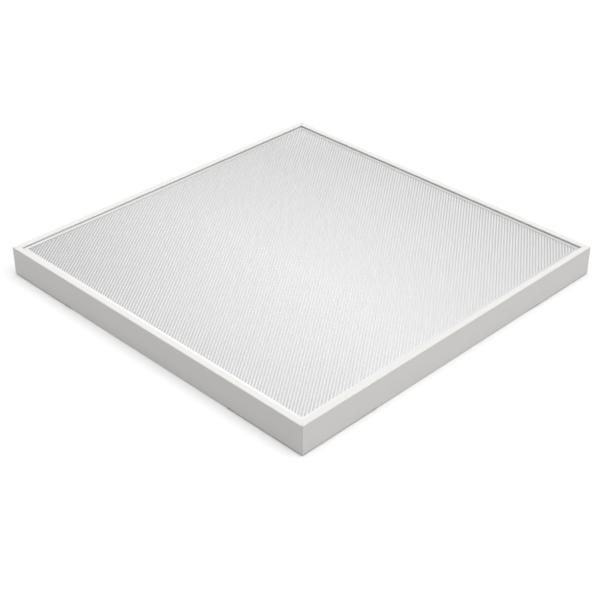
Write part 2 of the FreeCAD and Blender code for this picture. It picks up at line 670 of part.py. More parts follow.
def earth_lead():
    """Earth lead from the last pole to the barrel of the tag on the earth stud."""
    tag_z = FLOOR + EARTH_TAG_SHEET + LEAD_RADIUS
    barrel = EARTH_OFFSET_Y - EARTH_TAG_TAIL
    pole = POLES[-1]
    route = [(BLOCK_X1 - WIRE_PORT_DEPTH / 2, pole, PORT_Z), (BLOCK_X1 + LEAD_SPACE * 0.35, pole, PORT_Z),
             (EARTH_X, barrel - 2 * LEAD_DIAMETER, tag_z), (EARTH_X, barrel + LEAD_DIAMETER, tag_z)]
    return lead(route, "earth lead")


# ---------------------------------------------------------------- driver

def boss_places():
    """Middle of every lid screw of the driver, as (x, y)."""
    inset = DRIVER_WALL + BOSS_RADIUS - 0.4
    xs = (DRIVER_X0 + inset, DRIVER_X1 - inset)
    ys = (-DRIVER_WIDTH / 2 + inset, DRIVER_WIDTH / 2 - inset)
    return [(x, y) for x in xs for y in ys]


def driver_base():
    """Lower shell of the driver with ears, screw bosses, board rests and lead holes."""
    half = DRIVER_WIDTH / 2
    top = DRIVER_TOP - DRIVER_WALL
    shell = box(DRIVER_X0, DRIVER_X1, -half, half, FLOOR, top)
    room = box(DRIVER_X0 + DRIVER_WALL, DRIVER_X1 - DRIVER_WALL,
               -half + DRIVER_WALL, half - DRIVER_WALL, FLOOR + DRIVER_WALL, top + 1)
    shell = shell.cut(room)
    for x, y in boss_places():
        shell = shell.fuse(disc(x, y, FLOOR + DRIVER_WALL / 2, top, BOSS_RADIUS))
    rest_top = FLOOR + DRIVER_WALL + BOARD_RISE
    reach = half - DRIVER_WALL / 2
    for x in (DRIVER_X0 + DRIVER_LENGTH / 4, DRIVER_X1 - DRIVER_LENGTH / 4):
        shell = shell.fuse(box(x - 1, x + 1, -reach, reach, FLOOR, rest_top))
    for x, y in driver_mount_places():
        ear = box(x - DRIVER_EAR / 2, x + DRIVER_EAR / 2, y - DRIVER_EAR / 2, y + DRIVER_EAR / 2,
                  FLOOR, FLOOR + DRIVER_EAR_SHEET)
        shell = shell.fuse(ear).cut(disc(x, y, 0, DRIVER_TOP, RIVET_RADIUS + HOLE_GAP))
    for x, y in boss_places():
        shell = shell.cut(disc(x, y, top - LID_SCREW_DEPTH, top + 1, LID_SCREW_RADIUS + HOLE_GAP))
    for pole in SUPPLY_POLES:
        shell = shell.cut(rod_x(DRIVER_X0 - 1, DRIVER_X0 + DRIVER_WALL + 1, pole + INLET_SHIFT, PORT_Z,
                                LEAD_RADIUS + HOLE_GAP))
    for toward in (-1, 1):
        for offset in (-LEAD_PAIR_OFFSET, LEAD_PAIR_OFFSET):
            y = toward * 2 * LEAD_PAIR_OFFSET + offset
            shell = shell.cut(rod_x(DRIVER_X1 - DRIVER_WALL - 1, DRIVER_X1 + 1, y, LEAD_Z,
                                    LEAD_RADIUS + HOLE_GAP))
    return tidy(shell)


def driver_lid():
    """Lid of the driver, with a rim that drops inside the base."""
    half = DRIVER_WIDTH / 2
    seat = DRIVER_TOP - DRIVER_WALL
    lid = box(DRIVER_X0, DRIVER_X1, -half, half, seat, DRIVER_TOP)
    inset = DRIVER_WALL + LID_GAP
    rim = box(DRIVER_X0 + inset, DRIVER_X1 - inset, -half + inset, half - inset, seat - LID_RIM, seat)
    deep = inset + DRIVER_WALL
    room = box(DRIVER_X0 + deep, DRIVER_X1 - deep, -half + deep, half - deep, seat - LID_RIM - 1, seat)
    rim = rim.cut(room)
    for x, y in boss_places():
        rim = rim.cut(disc(x, y, seat - LID_RIM - 1, seat, BOSS_RADIUS + LID_GAP))
    lid = lid.fuse(rim.Solids)
    upright = [edge for edge in lid.Edges if abs(edge.BoundBox.ZLength - DRIVER_WALL) < 0.01
               and edge.BoundBox.ZMin > seat - 0.01]
    lid = lid.makeFillet(DRIVER_WALL, upright)
    for x, y in boss_places():
        lid = lid.cut(disc(x, y, seat - LID_RIM - 1, DRIVER_TOP + 1, LID_SCREW_RADIUS + HOLE_GAP))
    return tidy(lid)


def lid_screw(x, y):
    """Pan-head screw of the driver's lid."""
    head = disc(x, y, DRIVER_TOP, DRIVER_TOP + LID_SCREW_RADIUS, LID_SCREW_HEAD_RADIUS)
    shank = disc(x, y, DRIVER_TOP - DRIVER_WALL - LID_SCREW_DEPTH + 1, DRIVER_TOP, LID_SCREW_RADIUS)
    slot = box(x - LID_SCREW_HEAD_RADIUS, x + LID_SCREW_HEAD_RADIUS, y - 0.3, y + 0.3,
               DRIVER_TOP + LID_SCREW_RADIUS / 2, DRIVER_TOP + 2 * LID_SCREW_RADIUS)
    return tidy(head.fuse(shank).cut(slot))


def mount_screw(x, y):
    """Screw that holds one ear of the driver to the pan."""
    seat = FLOOR + DRIVER_EAR_SHEET
    return rivet(x, y, seat, head=2 * RIVET_HEAD)


def driver_board():
    """Circuit board on the rests inside the driver."""
    inset = DRIVER_WALL + BOARD_GAP
    half = DRIVER_WIDTH / 2 - inset
    z0 = FLOOR + DRIVER_WALL + BOARD_RISE
    board = box(DRIVER_X0 + inset, DRIVER_X1 - inset, -half, half, z0, z0 + BOARD_SHEET)
    for x, y in boss_places():
        board = board.cut(disc(x, y, z0 - 1, z0 + BOARD_SHEET + 1, BOSS_RADIUS + BOARD_GAP))
    return board


def board_top():
    """Height of the driver board's upper face."""
    return FLOOR + DRIVER_WALL + BOARD_RISE + BOARD_SHEET


def driver_transformer():
    """Ferrite frame round a wound bobbin that stands out on both sides."""
    x = DRIVER_CENTRE_X
    z0 = board_top()
    half = CORE_LENGTH / 2
    core = box(x - half, x + half, -CORE_WIDTH / 2, CORE_WIDTH / 2, z0, z0 + CORE_HEIGHT)
    bay = half - CORE_LEG
    reach = WINDING_WIDTH / 2
    winding = box(x - bay, x + bay, -reach, reach, z0 + CORE_LEG / 2, z0 + CORE_HEIGHT - CORE_LEG / 2)
    core = core.cut(winding)
    upright = [edge for edge in winding.Edges if edge.BoundBox.YLength > WINDING_WIDTH / 2]
    return Part.makeCompound([core, winding.makeFillet(CORE_LEG / 2, upright)])


def driver_capacitors():
    """Two upright smoothing capacitors."""
    x = DRIVER_CENTRE_X + DRIVER_LENGTH / 4
    z0 = board_top()
    ys = (-CAN_PITCH / 2, CAN_PITCH / 2)
    return Part.makeCompound([disc(x, y, z0, z0 + CAN_HEIGHT, CAN_RADIUS) for y in ys])


# ---------------------------------------------------------------- terminals and earth

def terminal_block():
    """Housing with a lever bay, a supply port and a lead port for each pole."""
    half = POLE_COUNT * POLE_PITCH / 2
    block = box(BLOCK_X0, BLOCK_X1, -half, half, FLOOR, BLOCK_TOP)
    bay_half = POLE_PITCH / 2 - BLOCK_CHEEK / 2
    bay_x0 = LEVER_X - LEVER_LENGTH - 1
    bay_x1 = LEVER_X + LEVER_HUB_RADIUS + LEVER_SIDE_GAP
    bar_x0 = BLOCK_X0 + WIRE_PORT_DEPTH
    bar_x1 = BLOCK_X1 - WIRE_PORT_DEPTH
    bar_half = WIRE_PORT_RADIUS + HOLE_GAP
    for pole in POLES:
        deep = LEVER_Z - LEVER_HUB_RADIUS - LEVER_SIDE_GAP
        block = block.cut(box(bay_x0, bay_x1, pole - bay_half, pole + bay_half, deep, BLOCK_TOP + 1))
        reach = bay_half + LEVER_PIN_REACH - LEVER_SIDE_GAP
        pivot = Part.makeCylinder(LEVER_PIN_RADIUS + HOLE_GAP, 2 * reach,
                                  Vec(LEVER_X, pole - reach, LEVER_Z), Vec(0, 1, 0))
        block = block.cut(pivot)
        block = block.cut(rod_x(BLOCK_X0 - 1, bar_x0, pole, PORT_Z, WIRE_PORT_RADIUS))
        block = block.cut(rod_x(bar_x1, BLOCK_X1 + 1, pole, PORT_Z, LEAD_RADIUS + HOLE_GAP))
        block = block.cut(box(bar_x0, bar_x1, pole - bar_half, pole + bar_half,
                              PORT_Z - BUS_BAR / 2, PORT_Z + WIRE_PORT_RADIUS))
    return tidy(block)


def terminal_lever(pole):
    """Clamping lever: a plate with a hub and two pivot pins."""
    half = POLE_PITCH / 2 - BLOCK_CHEEK / 2 - LEVER_SIDE_GAP
    reach = half + LEVER_PIN_REACH - LEVER_SIDE_GAP
    z0 = LEVER_Z + LEVER_HUB_RADIUS - LEVER_THICKNESS
    plate = box(LEVER_X - LEVER_LENGTH, LEVER_X, pole - half, pole + half, z0, z0 + LEVER_THICKNESS)
    hub = Part.makeCylinder(LEVER_HUB_RADIUS, 2 * half, Vec(LEVER_X, pole - half, LEVER_Z), Vec(0, 1, 0))
    pins = Part.makeCylinder(LEVER_PIN_RADIUS, 2 * reach,
                             Vec(LEVER_X, pole - reach, LEVER_Z), Vec(0, 1, 0))
    return tidy(plate.fuse(hub).fuse(pins))


def terminal_contacts():
    """Bus bar of every pole, in the housing's floor between its ports."""
    half = WIRE_PORT_RADIUS
    x0 = BLOCK_X0 + WIRE_PORT_DEPTH
    x1 = BLOCK_X1 - WIRE_PORT_DEPTH
    z0 = PORT_Z - BUS_BAR / 2
    return [box(x0, x1, pole - half, pole + half, z0, z0 + BUS_BAR) for pole in POLES]


def cable_grommet():
    """Grommet of the supply cable, flush with the back of the pan."""
    ring = disc(GROMMET_X, 0, 0, GROMMET_HEIGHT, GROMMET_NECK_RADIUS)
    flange = disc(GROMMET_X, 0, FLOOR, FLOOR + GROMMET_HEIGHT / 3, GROMMET_FLANGE_RADIUS)
    return tidy(ring.fuse(flange).cut(disc(GROMMET_X, 0, -1, GROMMET_HEIGHT + 1, GROMMET_BORE_RADIUS)))


def hanging_nut(x, y):
    """Closed rivet nut that takes a hanging hook or a safety wire."""
    nut = disc(x, y, 0, HANG_DEPTH + HANG_CAP, HANG_BARREL_RADIUS)
    nut = nut.fuse(disc(x, y, FLOOR, FLOOR + HANG_FLANGE, HANG_FLANGE_RADIUS))
    return tidy(nut.cut(disc(x, y, -1, HANG_DEPTH, HANG_BORE_RADIUS)))


def earth_stud():
    """Stud welded to the pan."""
    stud = disc(EARTH_X, EARTH_OFFSET_Y, FLOOR, FLOOR + EARTH_STUD_HEIGHT, EARTH_STUD_RADIUS)
    tip = [edge for edge in stud.Edges if edge.CenterOfMass.z > FLOOR + 1 and edge.BoundBox.ZLength < 0.01]
    return stud.makeChamfer(EARTH_STUD_RADIUS / 4, tip)


def earth_tag():
    """Ring tag with a crimped barrel for the earth lead."""
    z1 = FLOOR + EARTH_TAG_SHEET
    ring = disc(EARTH_X, EARTH_OFFSET_Y, FLOOR, z1, EARTH_TAG_RADIUS)
    tail = box(EARTH_X - LEAD_DIAMETER, EARTH_X + LEAD_DIAMETER,
               EARTH_OFFSET_Y - EARTH_TAG_TAIL, EARTH_OFFSET_Y, FLOOR, z1)
    hole = disc(EARTH_X, EARTH_OFFSET_Y, 0, z1 + 1, EARTH_STUD_RADIUS + HOLE_GAP)
    return tidy(ring.fuse(tail).cut(hole))


def earth_nut():
    """Hexagon nut on the earth stud."""
    z0 = FLOOR + EARTH_TAG_SHEET
    nut = hexagon(EARTH_X, EARTH_OFFSET_Y, z0, z0 + EARTH_NUT_HEIGHT, EARTH_NUT_WIDTH)
    return nut.cut(disc(EARTH_X, EARTH_OFFSET_Y, 0, PANEL_HEIGHT, EARTH_STUD_RADIUS + HOLE_GAP))


# ---------------------------------------------------------------- driver cover

def frustum(x0, x1, half_y, lean, z0, z1):
    """Block that narrows upwards by a lean on every side."""
    outlines = []
    for inset, z in ((0, z0), (lean, z1)):
        corners = [(x0 + inset, -half_y + inset), (x1 - inset, -half_y + inset),
                   (x1 - inset, half_y - inset), (x0 + inset, half_y - inset)]
        outlines.append(Part.makePolygon([Vec(*corner, z) for corner in corners + corners[:1]]))
    return Part.makeLoft(outlines, True, True)


def driver_cover():
    """White sheet cover over the driver and the terminals, with a flange at each end."""
    height = COVER_TOP - FLOOR
    thin = COVER_SHEET * math.hypot(COVER_LEAN, height) / height
    crown_inset = COVER_SHEET * COVER_LEAN / height
    shell = frustum(COVER_X0, COVER_X1, COVER_Y, COVER_LEAN, FLOOR, COVER_TOP)
    room = frustum(COVER_X0 + thin, COVER_X1 - thin, COVER_Y - thin, COVER_LEAN - crown_inset,
                   FLOOR, COVER_TOP - COVER_SHEET)
    flanges = ((COVER_X0 - COVER_FLANGE, COVER_X0 + 2 * thin), (COVER_X1 - 2 * thin, COVER_X1 + COVER_FLANGE))
    for x0, x1 in flanges:
        shell = shell.fuse(box(x0, x1, -COVER_Y, COVER_Y, FLOOR, FLOOR + COVER_SHEET))
    shell = shell.cut(room)
    notch = box(COVER_X1 - COVER_LEAN, COVER_X1 + COVER_FLANGE + 1, -COVER_NOTCH_HALF, COVER_NOTCH_HALF,
                FLOOR - 1, FLOOR + COVER_NOTCH_HEIGHT)
    holes = [disc(x, y, 0, PANEL_HEIGHT, COVER_SCREW_RADIUS + HOLE_GAP) for x, y in cover_screw_places()]
    return tidy(shell.cut(notch).cut(Part.makeCompound(holes)))


def cover_screw(x, y):
    """Captive pan-head screw of the driver cover."""
    seat = FLOOR + COVER_SHEET
    head = disc(x, y, seat, seat + COVER_SCREW_HEAD, COVER_SCREW_HEAD_RADIUS)
    crown = [edge for edge in head.Edges if edge.CenterOfMass.z > seat + COVER_SCREW_HEAD * 0.9]
    head = head.makeFillet(COVER_SCREW_HEAD * 0.5, crown)
    slot = box(x - COVER_SCREW_HEAD_RADIUS, x + COVER_SCREW_HEAD_RADIUS, y - 0.4, y + 0.4,
               seat + COVER_SCREW_HEAD * 0.5, seat + 2 * COVER_SCREW_HEAD)
    return tidy(head.fuse(disc(x, y, 0, seat, COVER_SCREW_RADIUS)).cut(slot))


# ---------------------------------------------------------------- diffuser and clips

def square_sheet(half, z0, z1):
    """Square sheet centred on the panel."""
    return box(-half, half, -half, half, z0, z1)


def grid_clip(side):
    """Swing-out strip with a pivot hole and a slot for a screwdriver, stowed along its wall."""
    pivot_y = -(HALF - CLIP_PIVOT_INSET)
    half = CLIP_WIDTH / 2
    z0 = FLOOR + FIT_GAP
    z1 = z0 + CLIP_SHEET
    tip = CLIP_OFFSET + CLIP_LENGTH - half
    strip = box(CLIP_OFFSET, tip, pivot_y - half, pivot_y + half, z0, z1)
    for x in (CLIP_OFFSET, tip):
        strip = strip.fuse(disc(x, pivot_y, z0, z1, half))
    slot_x0 = tip - CLIP_SLOT_LENGTH
    slot_half = CLIP_SLOT_WIDTH / 2
    strip = strip.cut(box(slot_x0, tip, pivot_y - slot_half, pivot_y + slot_half, 0, z1 + 1))
    strip = strip.cut(disc(CLIP_OFFSET, pivot_y, 0, z1 + 1, CLIP_PIN_RADIUS + HOLE_GAP))
    return quarter_turns(tidy(strip), side)


def clip_rivet(x, y):
    """Pivot rivet of a grid clip."""
    seat = FLOOR + 2 * FIT_GAP + CLIP_SHEET
    return rivet(x, y, seat, CLIP_PIN_RADIUS, CLIP_HEAD_RADIUS, CLIP_HEAD)


# ---------------------------------------------------------------- assembly

def build_parts():
    """Every sub-part's shape by node name."""
    group = Part.makeCompound
    parts = {"back_pan": back_pan()}
    for number, side in enumerate(SIDES):
        parts[f"frame_wall_{side}"] = frame_wall(number)
        parts[f"side_reflector_{side}"] = side_reflector(number)
        parts[f"corner_bracket_{number + 1}"] = corner_bracket(number)
        parts[f"grid_clip_{number + 1}"] = grid_clip(number)
    parts["frame_screws"] = group([frame_screw(*place) for place in screwed_places()])
    parts["frame_nuts"] = group([frame_nut(*place) for place in screwed_places()])
    parts["clip_rivets"] = group([clip_rivet(*place) for place in clip_pivots()])
    foot_top = FLOOR + REFLECTOR_SHEET
    parts["reflector_rivets"] = group([rivet(x, y, foot_top) for x, y in reflector_rivet_places()])
    parts["strip_rivets"] = group([rivet(x, y, STRIP_TOP) for x, y in strip_rivet_places()])
    for number, y in enumerate(ROWS):
        parts[f"led_strip_{number + 1}"] = led_strip(y)
        parts[f"led_lenses_{number + 1}"] = group([led_lens(x, y) for x in LED_PLACES])
    parts["led_chips"] = group([led_chip(x, y) for y in ROWS for x in LED_PLACES])
    parts["strip_connectors"] = group([strip_connector(y) for y in ROWS])
    parts["strip_jumpers"] = strip_jumpers()
    parts["led_leads"] = led_leads()
    parts["supply_leads"] = supply_leads()
    parts["earth_lead"] = earth_lead()
    parts["driver_base"] = driver_base()
    parts["driver_lid"] = driver_lid()
    parts["driver_board"] = driver_board()
    parts["driver_transformer"] = driver_transformer()
    parts["driver_capacitors"] = driver_capacitors()
    parts["driver_lid_screws"] = group([lid_screw(*place) for place in boss_places()])
    parts["driver_mount_screws"] = group([mount_screw(*place) for place in driver_mount_places()])
    parts["terminal_block"] = terminal_block()
    parts["terminal_contacts"] = group(terminal_contacts())
    for number, pole in enumerate(POLES):
        parts[f"terminal_lever_{number + 1}"] = terminal_lever(pole)
    parts["cable_grommet"] = cable_grommet()
    parts["hanging_nuts"] = group([hanging_nut(*place) for place in hang_places()])
    parts["earth_stud"] = earth_stud()
    parts["earth_tag"] = earth_tag()
    parts["earth_nut"] = earth_nut()
    parts["driver_cover"] = driver_cover()
    parts["cover_screws"] = group([cover_screw(*place) for place in cover_screw_places()])
    parts["diffuser_plate"] = square_sheet(DIFFUSER_HALF, OPAL_TOP, DIFFUSER_TOP)
    parts["diffusion_sheet"] = square_sheet(DIFFUSER_HALF, SHELF_TOP, OPAL_TOP)
    return parts


def main():
    """Build every sub-part and write its STEP file."""
    os.makedirs("parts", exist_ok=True)
    for name, shape in build_parts().items():
        if not shape.isValid():
            print("invalid shape:", name)
        shape.exportStep(f"parts/{name}.step")
        print(name, len(shape.Solids), "solids", round(shape.Volume / 1000, 2), "cm3")


main()
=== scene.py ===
"""A square recessed troffer light, lying on its back on a white studio floor, dressed and lit.

Every length is in metres unless its name ends in _mm. The lit face looks up (+Z), and the front wall faces -Y.
"""
import logging
import math
from dataclasses import dataclass, field
from enum import Enum

import bmesh
import bpy
from mathutils import Matrix, Vector


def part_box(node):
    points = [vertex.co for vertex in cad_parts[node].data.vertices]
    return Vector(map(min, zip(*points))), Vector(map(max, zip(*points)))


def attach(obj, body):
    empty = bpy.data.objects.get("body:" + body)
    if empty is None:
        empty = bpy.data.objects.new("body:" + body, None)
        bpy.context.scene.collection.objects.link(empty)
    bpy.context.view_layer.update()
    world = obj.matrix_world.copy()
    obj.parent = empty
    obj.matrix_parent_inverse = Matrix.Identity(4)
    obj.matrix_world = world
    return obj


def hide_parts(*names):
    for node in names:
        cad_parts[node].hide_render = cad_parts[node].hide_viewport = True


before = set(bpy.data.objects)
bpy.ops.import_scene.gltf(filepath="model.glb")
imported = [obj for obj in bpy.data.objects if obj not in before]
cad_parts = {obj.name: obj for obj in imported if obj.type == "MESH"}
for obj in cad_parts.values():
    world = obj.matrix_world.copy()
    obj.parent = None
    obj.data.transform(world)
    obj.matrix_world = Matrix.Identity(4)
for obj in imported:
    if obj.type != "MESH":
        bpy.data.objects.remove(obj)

LOG = logging.getLogger("troffer")
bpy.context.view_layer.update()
MM = 0.001
SIDES = ("front", "right", "back", "left")
WHITE = "#FFFFFF"


# ---------------------------------------------------------------- finishes

PATCH_DETAIL = 3.0  # octaves of the darker patches
GRAIN_DETAIL = 2.0  # octaves of the fine relief
WEAR_DETAIL = 4.0  # octaves of the smears
SMEARS_PER_PATCH = 3
WEAR_SPREAD = 0.15  # how far a smear's roughness strays from the mean, as a share of it
ROLLING_STRETCH = (0.04, 1.0, 1.0)  # rolled sheet's relief is drawn out along X


def linear(colour: str, alpha: float = 1.0) -> tuple[float, float, float, float]:
    """Turns an sRGB hex colour into linear light.

    Args:
        colour: six hex digits with a leading #.
        alpha: the opacity that goes with it.

    Returns:
        Red, green, blue and alpha.
    """
    values = [int(colour[start:start + 2], 16) / 255 for start in (1, 3, 5)]
    red, green, blue = (v / 12.92 if v <= 0.04045 else ((v + 0.055) / 1.055) ** 2.4 for v in values)
    return red, green, blue, alpha


def add_node(tree: bpy.types.NodeTree, kind: str, inputs: dict | None = None, links: dict | None = None,
             **settings) -> bpy.types.Node:
    """Adds one shader node with its settings and links.

    Args:
        tree: the node tree to add to.
        kind: the node's type name.
        inputs: values for its input sockets.
        links: output sockets that feed its input sockets.
        **settings: the node's own properties.

    Returns:
        The new node.
    """
    node = tree.nodes.new(kind)
    for name, value in settings.items():
        setattr(node, name, value)
    for socket, value in (inputs or {}).items():
        node.inputs[socket].default_value = value
    for socket, source in (links or {}).items():
        tree.links.new(source, node.inputs[socket])
    return node


def mix_colours(tree: bpy.types.NodeTree, factor: bpy.types.NodeSocket, first: tuple, second: tuple
                ) -> bpy.types.NodeSocket:
    """Mixes two colours.

    Args:
        tree: the node tree to add to.
        factor: the second colour's share.
        first: a linear colour with its alpha.
        second: the other one.

    Returns:
        The colour socket.
    """
    mixed = add_node(tree, "ShaderNodeMix", data_type="RGBA", links={"Factor": factor})
    mixed.inputs["A"].default_value = first
    mixed.inputs["B"].default_value = second
    return mixed.outputs["Result"]


def new_material(name: str) -> tuple[bpy.types.Material, bpy.types.NodeTree, bpy.types.Node]:
    """Makes a plain material.

    Args:
        name: its plain name.

    Returns:
        The material, its node tree and its shader.
    """
    material = bpy.data.materials.new(name)
    material.use_nodes = True
    return material, material.node_tree, material.node_tree.nodes["Principled BSDF"]


class Surface(Enum):
    """How a surface was made, which gives its fine relief."""

    SPRAYED = "sprayed"
    MOULDED = "moulded"
    ROLLED = "rolled"
    PLATED = "plated"


@dataclass(frozen=True)
class Finish:
    """One material with the relief and the unevenness that its making leaves.

    Attributes:
        name: the material's plain name.
        colour: its sRGB colour.
        roughness: the mean roughness of its surface.
        surface: how it was made.
        grain_mm: the width of one bump of its relief.
        relief_mm: the height of that relief.
        tone: how much darker its darker patches are, from 0 to 1.
        patch_mm: the width of such a patch.
        metallic: 1 for a bare metal.
        ior: its index of refraction.
        transmission: the share of light that passes through it.
        coat: the strength of a clear gloss over it.
    """

    name: str
    colour: str
    roughness: float
    surface: Surface = Surface.MOULDED
    grain_mm: float = 0.6
    relief_mm: float = 0.004
    tone: float = 0.03
    patch_mm: float = 60.0
    metallic: float = 0.0
    ior: float = 1.5
    transmission: float = 0.0
    coat: float = 0.0

    @property
    def stretch(self) -> tuple[float, float, float]:
        """How the relief is drawn out: rolled sheet shows lines along X, the others none."""
        return ROLLING_STRETCH if self.surface is Surface.ROLLED else (1.0, 1.0, 1.0)

    def patches(self, tree: bpy.types.NodeTree, place: bpy.types.NodeSocket) -> bpy.types.NodeSocket:
        """The colour with its darker patches.

        Args:
            tree: the material's node tree.
            place: the object coordinates.

        Returns:
            The colour socket.
        """
        scale = 1 / (self.patch_mm * MM)
        cloud = add_node(tree, "ShaderNodeTexNoise", {"Scale": scale, "Detail": PATCH_DETAIL}, {"Vector": place})
        base = linear(self.colour)
        darker = tuple(v * (1 - self.tone) for v in base[:3]) + (1.0,)
        return mix_colours(tree, cloud.outputs["Fac"], base, darker)

    def relief(self, tree: bpy.types.NodeTree, place: bpy.types.NodeSocket) -> bpy.types.NodeSocket:
        """The fine relief as a bump.

        Args:
            tree: the material's node tree.
            place: the object coordinates.

        Returns:
            The normal socket.
        """
        drawn = add_node(tree, "ShaderNodeMapping", {"Scale": self.stretch}, {"Vector": place})
        scale = 1 / (self.grain_mm * MM)
        grain = add_node(tree, "ShaderNodeTexNoise", {"Scale": scale, "Detail": GRAIN_DETAIL},
                         {"Vector": drawn.outputs["Vector"]})
        bump = add_node(tree, "ShaderNodeBump", {"Strength": 1.0, "Distance": self.relief_mm * MM},
                        {"Height": grain.outputs["Fac"]})
        return bump.outputs["Normal"]

    def wear(self, tree: bpy.types.NodeTree, place: bpy.types.NodeSocket) -> bpy.types.NodeSocket:
        """The roughness, a little uneven from handling.

        Args:
            tree: the material's node tree.
            place: the object coordinates.

        Returns:
            The roughness socket.
        """
        scale = SMEARS_PER_PATCH / (self.patch_mm * MM)
        smear = add_node(tree, "ShaderNodeTexNoise", {"Scale": scale, "Detail": WEAR_DETAIL}, {"Vector": place})
        smoother = self.roughness * (1 - WEAR_SPREAD)
        rougher = min(self.roughness * (1 + WEAR_SPREAD), 1.0)
        spread = add_node(tree, "ShaderNodeMapRange", {"To Min": smoother, "To Max": rougher},
                          {"Value": smear.outputs["Fac"]})
        return spread.outputs["Result"]

    def build(self) -> bpy.types.Material:
        """Makes the material, or returns the one made before under its name."""
        made = bpy.data.materials.get(self.name)
        if made:
            return made
        material, tree, shader = new_material(self.name)
        shader.inputs["Metallic"].default_value = self.metallic
        shader.inputs["IOR"].default_value = self.ior
        shader.inputs["Transmission Weight"].default_value = self.transmission
        shader.inputs["Coat Weight"].default_value = self.coat
        place = add_node(tree, "ShaderNodeTexCoord").outputs["Object"]
        tree.links.new(self.patches(tree, place), shader.inputs["Base Color"])
        tree.links.new(self.wear(tree, place), shader.inputs["Roughness"])
        tree.links.new(self.relief(tree, place), shader.inputs["Normal"])
        return material


# Polyester powder coat, sprayed and baked: an even satin white with a fine orange peel.
POWDER_COAT = Finish("white polyester powder coat", "#F2F0ED", 0.42, Surface.SPRAYED, grain_mm=1.6,
                     relief_mm=0.012, tone=0.012, patch_mm=120)
# Coil coat, rolled on before the sheet was folded: smoother and a little greyer than powder.
COIL_COAT = Finish("white coil coated steel", "#E6E6E4", 0.38, Surface.ROLLED, grain_mm=0.8, relief_mm=0.003,
                   tone=0.015, patch_mm=150)
# Reflector paint: the whitest and the least glossy, so that it spreads the light.
REFLECTOR_PAINT = Finish("matte reflector paint", "#F2F1EE", 0.65, Surface.SPRAYED, grain_mm=1.0,
                         relief_mm=0.006, tone=0.01, patch_mm=120)
# Baked lacquer on the screw heads, a shade warmer than the wall.
SCREW_LACQUER = Finish("white lacquered steel", "#E4E2DE", 0.35, Surface.SPRAYED, grain_mm=0.5,
                       relief_mm=0.004, tone=0.03, patch_mm=6)
# Bright zinc plate: a cool metal with soft cloudy patches from the bath.
ZINC_PLATE = Finish("bright zinc plated steel", "#B4B8BD", 0.30, Surface.PLATED, grain_mm=0.5,
                    relief_mm=0.003, tone=0.16, patch_mm=7, metallic=1.0)
# Spring steel, rolled hard: darker than zinc, with faint rolling lines.
SPRING_STEEL = Finish("rolled spring steel", "#A3A6AA", 0.33, Surface.ROLLED, grain_mm=0.4, relief_mm=0.004,
                      tone=0.10, patch_mm=10, metallic=1.0)
# Clear moulded acrylic, which bends the chip's yellow across the whole lens.
LENS_ACRYLIC = Finish("clear moulded acrylic", "#F6F9FA", 0.06, grain_mm=2.0, relief_mm=0.001, tone=0.0,
                      ior=1.49, transmission=0.92)
# Phosphor in silicone over each emitter: a dull mustard yellow when it is off.
PHOSPHOR = Finish("phosphor in clear silicone", "#E8C33C", 0.30, grain_mm=0.3, relief_mm=0.004, tone=0.08,
                  patch_mm=2, ior=1.41)
# Natural nylon: milky, a little yellow, with a soft shine.
NYLON = Finish("moulded nylon", "#EDEBE3", 0.40, grain_mm=0.5, relief_mm=0.003, tone=0.02, patch_mm=8,
               ior=1.53)
# PVC insulation: extruded, so it shines softly along the lead.
RED_PVC = Finish("red PVC insulation", "#B3201C", 0.38, grain_mm=0.8, relief_mm=0.005, tone=0.08, patch_mm=12,
                 ior=1.53)
BROWN_PVC = Finish("brown PVC insulation", "#5A3220", 0.38, grain_mm=0.8, relief_mm=0.005, tone=0.08,
                   patch_mm=12, ior=1.53)
# Moulded polycarbonate with a fine spark-eroded texture.
POLYCARBONATE = Finish("spark textured polycarbonate", "#DEDEDB", 0.48, grain_mm=0.5, relief_mm=0.012,
                       tone=0.015, patch_mm=30, ior=1.58)
# Glass laminate under green solder mask.
GREEN_LAMINATE = Finish("green solder mask on laminate", "#1F5A32", 0.25, grain_mm=0.9, relief_mm=0.006,
                        tone=0.12, patch_mm=5, coat=0.3)
# Sintered ferrite and varnished winding tape.
FERRITE = Finish("sintered ferrite and tape", "#2B2B2E", 0.55, grain_mm=0.4, relief_mm=0.01, tone=0.15,
                 patch_mm=4)
# Shrink sleeve over an aluminium can.
SHRINK_SLEEVE = Finish("black shrink sleeve", "#15181F", 0.28, grain_mm=1.2, relief_mm=0.004, tone=0.1,
                       patch_mm=6)
# Moulded polyamide: satin, with the slight mottling of glass fill.
GREY_POLYAMIDE = Finish("grey moulded polyamide", "#A6A8AA", 0.42, grain_mm=0.4, relief_mm=0.006, tone=0.04,
                        patch_mm=6, ior=1.53)
ORANGE_POLYAMIDE = Finish("orange moulded polyamide", "#DE6A1B", 0.36, grain_mm=0.4, relief_mm=0.005,
                          tone=0.05, patch_mm=6, ior=1.53)
# Tinned brass: pale, warm, slightly dull.
TINNED_BRASS = Finish("tinned brass", "#C9B78F", 0.28, Surface.PLATED, grain_mm=0.4, relief_mm=0.003,
                      tone=0.12, patch_mm=4, metallic=1.0)
# Moulded rubber: black, matte, with a faint bloom.
RUBBER = Finish("moulded black rubber", "#1E1E1E", 0.70, grain_mm=0.5, relief_mm=0.01, tone=0.2, patch_mm=5)
# Opal polystyrene sheet: even and milky.
OPAL_SHEET = Finish("opal polystyrene sheet", "#F1F1F0", 0.55, grain_mm=1.5, relief_mm=0.002, tone=0.008,
                    patch_mm=90, ior=1.59)


